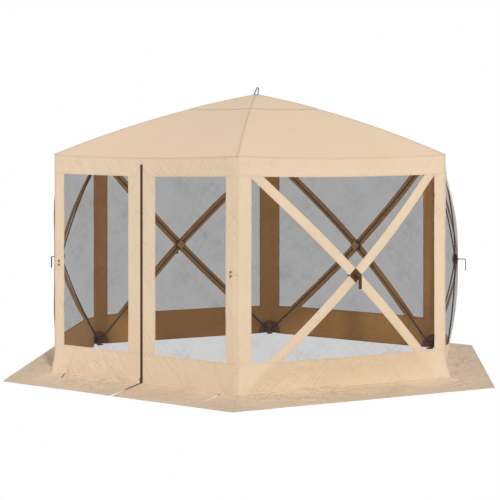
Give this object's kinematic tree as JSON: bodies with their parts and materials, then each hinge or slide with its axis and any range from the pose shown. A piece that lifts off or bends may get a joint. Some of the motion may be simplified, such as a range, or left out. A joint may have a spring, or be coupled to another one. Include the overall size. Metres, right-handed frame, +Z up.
{
  "type": "screen house",
  "caption": "Six-sided pop-up screen house: hubbed poles bow mesh walls and a hipped canopy outward; one wall is a zipped door, with a ground skirt all round.",
  "frame": {"origin": "on the ground under the roof hub, at the centre of the footprint", "axes": "+Z up; the zipped door wall faces -Y; corners lie at 0, 60, 120, 180, 240 and 300 degrees from +X"},
  "size_m": [4.5152, 3.9102, 2.3985],
  "materials": {
    "shell_fabric": "coated polyester, tan outside",
    "mesh": "fine no-see-um mesh",
    "fibreglass": "satin fibreglass rod",
    "moulding": "moulded nylon",
    "webbing": "woven webbing",
    "zip": "coil zip on woven tape",
    "toggle": "turned barrel"
  },
  "bodies": {
    "root": {"upper_brackets": "moulding", "lower_brackets": "moulding", "roof_canopy": "shell_fabric", "valance": "shell_fabric", "corner_posts": "shell_fabric", "lower_bands": "shell_fabric", "ground_skirt": "shell_fabric", "mesh_window_1": "mesh", "mesh_window_2": "mesh", "mesh_window_3": "mesh", "mesh_window_4": "mesh", "mesh_window_5": "mesh", "cross_strips": "shell_fabric", "door_screen_fixed": "mesh", "toggles": "toggle"},
    "wall_hub_1": {"wall_hub_1": "moulding"},
    "wall_pole_1_upper_left": {"wall_pole_1_upper_left": "fibreglass"},
    "wall_pole_1_upper_right": {"wall_pole_1_upper_right": "fibreglass"},
    "wall_pole_1_lower_left": {"wall_pole_1_lower_left": "fibreglass"},
    "wall_pole_1_lower_right": {"wall_pole_1_lower_right": "fibreglass"},
    "pull_strap_1": {"pull_strap_1": "webbing"},
    "wall_hub_2": {"wall_hub_2": "moulding"},
    "wall_pole_2_upper_left": {"wall_pole_2_upper_left": "fibreglass"},
    "wall_pole_2_upper_right": {"wall_pole_2_upper_right": "fibreglass"},
    "wall_pole_2_lower_left": {"wall_pole_2_lower_left": "fibreglass"},
    "wall_pole_2_lower_right": {"wall_pole_2_lower_right": "fibreglass"},
    "pull_strap_2": {"pull_strap_2": "webbing"},
    "wall_hub_3": {"wall_hub_3": "moulding"},
    "wall_pole_3_upper_left": {"wall_pole_3_upper_left": "fibreglass"},
    "wall_pole_3_upper_right": {"wall_pole_3_upper_right": "fibreglass"},
    "wall_pole_3_lower_left": {"wall_pole_3_lower_left": "fibreglass"},
    "wall_pole_3_lower_right": {"wall_pole_3_lower_right": "fibreglass"},
    "pull_strap_3": {"pull_strap_3": "webbing"},
    "wall_hub_4": {"wall_hub_4": "moulding"},
    "wall_pole_4_upper_left": {"wall_pole_4_upper_left": "fibreglass"},
    "wall_pole_4_upper_right": {"wall_pole_4_upper_right": "fibreglass"},
    "wall_pole_4_lower_left": {"wall_pole_4_lower_left": "fibreglass"},
    "wall_pole_4_lower_right": {"wall_pole_4_lower_right": "fibreglass"},
    "pull_strap_4": {"pull_strap_4": "webbing"},
    "wall_hub_5": {"wall_hub_5": "moulding"},
    "wall_pole_5_upper_left": {"wall_pole_5_upper_left": "fibreglass"},
    "wall_pole_5_upper_right": {"wall_pole_5_upper_right": "fibreglass"},
    "wall_pole_5_lower_left": {"wall_pole_5_lower_left": "fibreglass"},
    "wall_pole_5_lower_right": {"wall_pole_5_lower_right": "fibreglass"},
    "pull_strap_5": {"pull_strap_5": "webbing"},
    "roof_hub": {"roof_hub": "moulding", "roof_loop": "webbing"},
    "roof_pole_1": {"roof_pole_1": "fibreglass"},
    "roof_pole_2": {"roof_pole_2": "fibreglass"},
    "roof_pole_3": {"roof_pole_3": "fibreglass"},
    "roof_pole_4": {"roof_pole_4": "fibreglass"},
    "roof_pole_5": {"roof_pole_5": "fibreglass"},
    "roof_pole_6": {"roof_pole_6": "fibreglass"},
    "door_flap_left": {"door_flap_left": "shell_fabric", "door_mesh_left": "mesh", "zip_tape_left": "zip"},
    "door_flap_right": {"door_flap_right": "shell_fabric", "door_mesh_right": "mesh", "zip_tape_right": "zip"},
    "zip_slider": {"zip_slider": "zip"}
  },
  "joints": [
    {"name": "wall_hub_1_push", "type": "slide", "parent": "root", "child": "wall_hub_1", "axis": [0.866, -0.5, 0], "range_m": [-0.324, 0], "deforming": ["mesh_window_1", "cross_strips"]},
    {"name": "wall_pole_1_upper_left_pivot", "type": "hinge", "parent": "root", "child": "wall_pole_1_upper_left", "pos_m": [0.91698, -1.52766, 1.76], "axis": [-0.3506, -0.6072, -0.7131], "range_deg": [-15.85, 0]},
    {"name": "wall_pole_1_upper_right_pivot", "type": "hinge", "parent": "root", "child": "wall_pole_1_upper_right", "pos_m": [1.78148, -0.0303, 1.76], "axis": [-0.3506, -0.6072, 0.7131], "range_deg": [-15.85, 0]},
    {"name": "wall_pole_1_lower_left_pivot", "type": "hinge", "parent": "root", "child": "wall_pole_1_lower_left", "pos_m": [0.91698, -1.52766, 0.06], "axis": [0.3506, 0.6072, -0.7131], "range_deg": [-15.85, 0]},
    {"name": "wall_pole_1_lower_right_pivot", "type": "hinge", "parent": "root", "child": "wall_pole_1_lower_right", "pos_m": [1.78148, -0.0303, 0.06], "axis": [0.3506, 0.6072, 0.7131], "range_deg": [-15.85, 0]},
    {"name": "pull_strap_1_lift", "type": "hinge", "parent": "wall_hub_1", "child": "pull_strap_1", "pos_m": [1.51984, -0.87748, 0.91], "axis": [-0.5, -0.866, 0], "range_deg": [0, 95]},
    {"name": "wall_hub_2_push", "type": "slide", "parent": "root", "child": "wall_hub_2", "axis": [0.866, 0.5, 0], "range_m": [-0.324, 0], "deforming": ["mesh_window_2", "cross_strips"]},
    {"name": "wall_pole_2_upper_left_pivot", "type": "hinge", "parent": "root", "child": "wall_pole_2_upper_left", "pos_m": [1.78148, 0.0303, 1.76], "axis": [0.3506, -0.6072, -0.7131], "range_deg": [-15.85, 0]},
    {"name": "wall_pole_2_upper_right_pivot", "type": "hinge", "parent": "root", "child": "wall_pole_2_upper_right", "pos_m": [0.91698, 1.52766, 1.76], "axis": [0.3506, -0.6072, 0.7131], "range_deg": [-15.85, 0]},
    {"name": "wall_pole_2_lower_left_pivot", "type": "hinge", "parent": "root", "child": "wall_pole_2_lower_left", "pos_m": [1.78148, 0.0303, 0.06], "axis": [-0.3506, 0.6072, -0.7131], "range_deg": [-15.85, 0]},
    {"name": "wall_pole_2_lower_right_pivot", "type": "hinge", "parent": "root", "child": "wall_pole_2_lower_right", "pos_m": [0.91698, 1.52766, 0.06], "axis": [-0.3506, 0.6072, 0.7131], "range_deg": [-15.85, 0]},
    {"name": "pull_strap_2_lift", "type": "hinge", "parent": "wall_hub_2", "child": "pull_strap_2", "pos_m": [1.51984, 0.87748, 0.91], "axis": [0.5, -0.866, 0], "range_deg": [0, 95]},
    {"name": "wall_hub_3_push", "type": "slide", "parent": "root", "child": "wall_hub_3", "axis": [0, 1, 0], "range_m": [-0.324, 0], "deforming": ["mesh_window_3", "cross_strips"]},
    {"name": "wall_pole_3_upper_left_pivot", "type": "hinge", "parent": "root", "child": "wall_pole_3_upper_left", "pos_m": [0.8645, 1.55796, 1.76], "axis": [0.7011, 0, -0.7131], "range_deg": [-15.85, 0]},
    {"name": "wall_pole_3_upper_right_pivot", "type": "hinge", "parent": "root", "child": "wall_pole_3_upper_right", "pos_m": [-0.8645, 1.55796, 1.76], "axis": [0.7011, 0, 0.7131], "range_deg": [-15.85, 0]},
    {"name": "wall_pole_3_lower_left_pivot", "type": "hinge", "parent": "root", "child": "wall_pole_3_lower_left", "pos_m": [0.8645, 1.55796, 0.06], "axis": [-0.7011, 0, -0.7131], "range_deg": [-15.85, 0]},
    {"name": "wall_pole_3_lower_right_pivot", "type": "hinge", "parent": "root", "child": "wall_pole_3_lower_right", "pos_m": [-0.8645, 1.55796, 0.06], "axis": [-0.7011, 0, 0.7131], "range_deg": [-15.85, 0]},
    {"name": "pull_strap_3_lift", "type": "hinge", "parent": "wall_hub_3", "child": "pull_strap_3", "pos_m": [0, 1.75496, 0.91], "axis": [1, 0, 0], "range_deg": [0, 95]},
    {"name": "wall_hub_4_push", "type": "slide", "parent": "root", "child": "wall_hub_4", "axis": [-0.866, 0.5, 0], "range_m": [-0.324, 0], "deforming": ["mesh_window_4", "cross_strips"]},
    {"name": "wall_pole_4_upper_left_pivot", "type": "hinge", "parent": "root", "child": "wall_pole_4_upper_left", "pos_m": [-0.91698, 1.52766, 1.76], "axis": [0.3506, 0.6072, -0.7131], "range_deg": [-15.85, 0]},
    {"name": "wall_pole_4_upper_right_pivot", "type": "hinge", "parent": "root", "child": "wall_pole_4_upper_right", "pos_m": [-1.78148, 0.0303, 1.76], "axis": [0.3506, 0.6072, 0.7131], "range_deg": [-15.85, 0]},
    {"name": "wall_pole_4_lower_left_pivot", "type": "hinge", "parent": "root", "child": "wall_pole_4_lower_left", "pos_m": [-0.91698, 1.52766, 0.06], "axis": [-0.3506, -0.6072, -0.7131], "range_deg": [-15.85, 0]},
    {"name": "wall_pole_4_lower_right_pivot", "type": "hinge", "parent": "root", "child": "wall_pole_4_lower_right", "pos_m": [-1.78148, 0.0303, 0.06], "axis": [-0.3506, -0.6072, 0.7131], "range_deg": [-15.85, 0]},
    {"name": "pull_strap_4_lift", "type": "hinge", "parent": "wall_hub_4", "child": "pull_strap_4", "pos_m": [-1.51984, 0.87748, 0.91], "axis": [0.5, 0.866, 0], "range_deg": [0, 95]},
    {"name": "wall_hub_5_push", "type": "slide", "parent": "root", "child": "wall_hub_5", "axis": [-0.866, -0.5, 0], "range_m": [-0.324, 0], "deforming": ["mesh_window_5", "cross_strips"]},
    {"name": "wall_pole_5_upper_left_pivot", "type": "hinge", "parent": "root", "child": "wall_pole_5_upper_left", "pos_m": [-1.78148, -0.0303, 1.76], "axis": [-0.3506, 0.6072, -0.7131], "range_deg": [-15.85, 0]},
    {"name": "wall_pole_5_upper_right_pivot", "type": "hinge", "parent": "root", "child": "wall_pole_5_upper_right", "pos_m": [-0.91698, -1.52766, 1.76], "axis": [-0.3506, 0.6072, 0.7131], "range_deg": [-15.85, 0]},
    {"name": "wall_pole_5_lower_left_pivot", "type": "hinge", "parent": "root", "child": "wall_pole_5_lower_left", "pos_m": [-1.78148, -0.0303, 0.06], "axis": [0.3506, -0.6072, -0.7131], "range_deg": [-15.85, 0]},
    {"name": "wall_pole_5_lower_right_pivot", "type": "hinge", "parent": "root", "child": "wall_pole_5_lower_right", "pos_m": [-0.91698, -1.52766, 0.06], "axis": [0.3506, -0.6072, 0.7131], "range_deg": [-15.85, 0]},
    {"name": "pull_strap_5_lift", "type": "hinge", "parent": "wall_hub_5", "child": "pull_strap_5", "pos_m": [-1.51984, -0.87748, 0.91], "axis": [-0.5, 0.866, 0], "range_deg": [0, 95]},
    {"name": "roof_hub_drop", "type": "slide", "parent": "root", "child": "roof_hub", "axis": [0, 0, 1], "range_m": [-0.96, 0], "deforming": ["roof_canopy"]},
    {"name": "roof_pole_1_pivot", "type": "hinge", "parent": "root", "child": "roof_pole_1", "pos_m": [1.769, 0, 1.796], "axis": [0, 1, 0], "range_deg": [-32.37, 0]},
    {"name": "roof_pole_2_pivot", "type": "hinge", "parent": "root", "child": "roof_pole_2", "pos_m": [0.8845, 1.532, 1.796], "axis": [-0.866, 0.5, 0], "range_deg": [-32.37, 0]},
    {"name": "roof_pole_3_pivot", "type": "hinge", "parent": "root", "child": "roof_pole_3", "pos_m": [-0.8845, 1.532, 1.796], "axis": [-0.866, -0.5, 0], "range_deg": [-32.37, 0]},
    {"name": "roof_pole_4_pivot", "type": "hinge", "parent": "root", "child": "roof_pole_4", "pos_m": [-1.769, 0, 1.796], "axis": [0, -1, 0], "range_deg": [-32.37, 0]},
    {"name": "roof_pole_5_pivot", "type": "hinge", "parent": "root", "child": "roof_pole_5", "pos_m": [-0.8845, -1.532, 1.796], "axis": [0.866, -0.5, 0], "range_deg": [-32.37, 0]},
    {"name": "roof_pole_6_pivot", "type": "hinge", "parent": "root", "child": "roof_pole_6", "pos_m": [0.8845, -1.532, 1.796], "axis": [0.866, 0.5, 0], "range_deg": [-32.37, 0]},
    {"name": "door_flap_left_fold", "type": "hinge", "parent": "root", "child": "door_flap_left", "pos_m": [-0.40225, -1.58426, 0.8905], "axis": [-0.4117, 0, -0.9113], "range_deg": [0, 105]},
    {"name": "door_flap_right_fold", "type": "hinge", "parent": "root", "child": "door_flap_right", "pos_m": [0.40225, -1.58426, 0.8905], "axis": [-0.4117, 0, 0.9113], "range_deg": [0, 105]},
    {"name": "zip_slide", "type": "slide", "parent": "door_flap_left", "child": "zip_slider", "axis": [0, 0, 1], "range_m": [0, 1.56]}
  ],
  "couplings": [
    {"joint": "wall_pole_1_upper_left_pivot", "follows": "wall_hub_1_push", "rad_per_m": 0.83772},
    {"joint": "wall_pole_1_upper_right_pivot", "follows": "wall_hub_1_push", "rad_per_m": 0.83772},
    {"joint": "wall_pole_1_lower_left_pivot", "follows": "wall_hub_1_push", "rad_per_m": 0.83772},
    {"joint": "wall_pole_1_lower_right_pivot", "follows": "wall_hub_1_push", "rad_per_m": 0.83772},
    {"joint": "wall_pole_2_upper_left_pivot", "follows": "wall_hub_2_push", "rad_per_m": 0.83772},
    {"joint": "wall_pole_2_upper_right_pivot", "follows": "wall_hub_2_push", "rad_per_m": 0.83772},
    {"joint": "wall_pole_2_lower_left_pivot", "follows": "wall_hub_2_push", "rad_per_m": 0.83772},
    {"joint": "wall_pole_2_lower_right_pivot", "follows": "wall_hub_2_push", "rad_per_m": 0.83772},
    {"joint": "wall_pole_3_upper_left_pivot", "follows": "wall_hub_3_push", "rad_per_m": 0.83772},
    {"joint": "wall_pole_3_upper_right_pivot", "follows": "wall_hub_3_push", "rad_per_m": 0.83772},
    {"joint": "wall_pole_3_lower_left_pivot", "follows": "wall_hub_3_push", "rad_per_m": 0.83772},
    {"joint": "wall_pole_3_lower_right_pivot", "follows": "wall_hub_3_push", "rad_per_m": 0.83772},
    {"joint": "wall_pole_4_upper_left_pivot", "follows": "wall_hub_4_push", "rad_per_m": 0.83772},
    {"joint": "wall_pole_4_upper_right_pivot", "follows": "wall_hub_4_push", "rad_per_m": 0.83772},
    {"joint": "wall_pole_4_lower_left_pivot", "follows": "wall_hub_4_push", "rad_per_m": 0.83772},
    {"joint": "wall_pole_4_lower_right_pivot", "follows": "wall_hub_4_push", "rad_per_m": 0.83772},
    {"joint": "wall_pole_5_upper_left_pivot", "follows": "wall_hub_5_push", "rad_per_m": 0.83772},
    {"joint": "wall_pole_5_upper_right_pivot", "follows": "wall_hub_5_push", "rad_per_m": 0.83772},
    {"joint": "wall_pole_5_lower_left_pivot", "follows": "wall_hub_5_push", "rad_per_m": 0.83772},
    {"joint": "wall_pole_5_lower_right_pivot", "follows": "wall_hub_5_push", "rad_per_m": 0.83772},
    {"joint": "roof_pole_1_pivot", "follows": "roof_hub_drop", "rad_per_m": 0.57946},
    {"joint": "roof_pole_2_pivot", "follows": "roof_hub_drop", "rad_per_m": 0.57946},
    {"joint": "roof_pole_3_pivot", "follows": "roof_hub_drop", "rad_per_m": 0.57946},
    {"joint": "roof_pole_4_pivot", "follows": "roof_hub_drop", "rad_per_m": 0.57946},
    {"joint": "roof_pole_5_pivot", "follows": "roof_hub_drop", "rad_per_m": 0.57946},
    {"joint": "roof_pole_6_pivot", "follows": "roof_hub_drop", "rad_per_m": 0.57946}
  ]
}
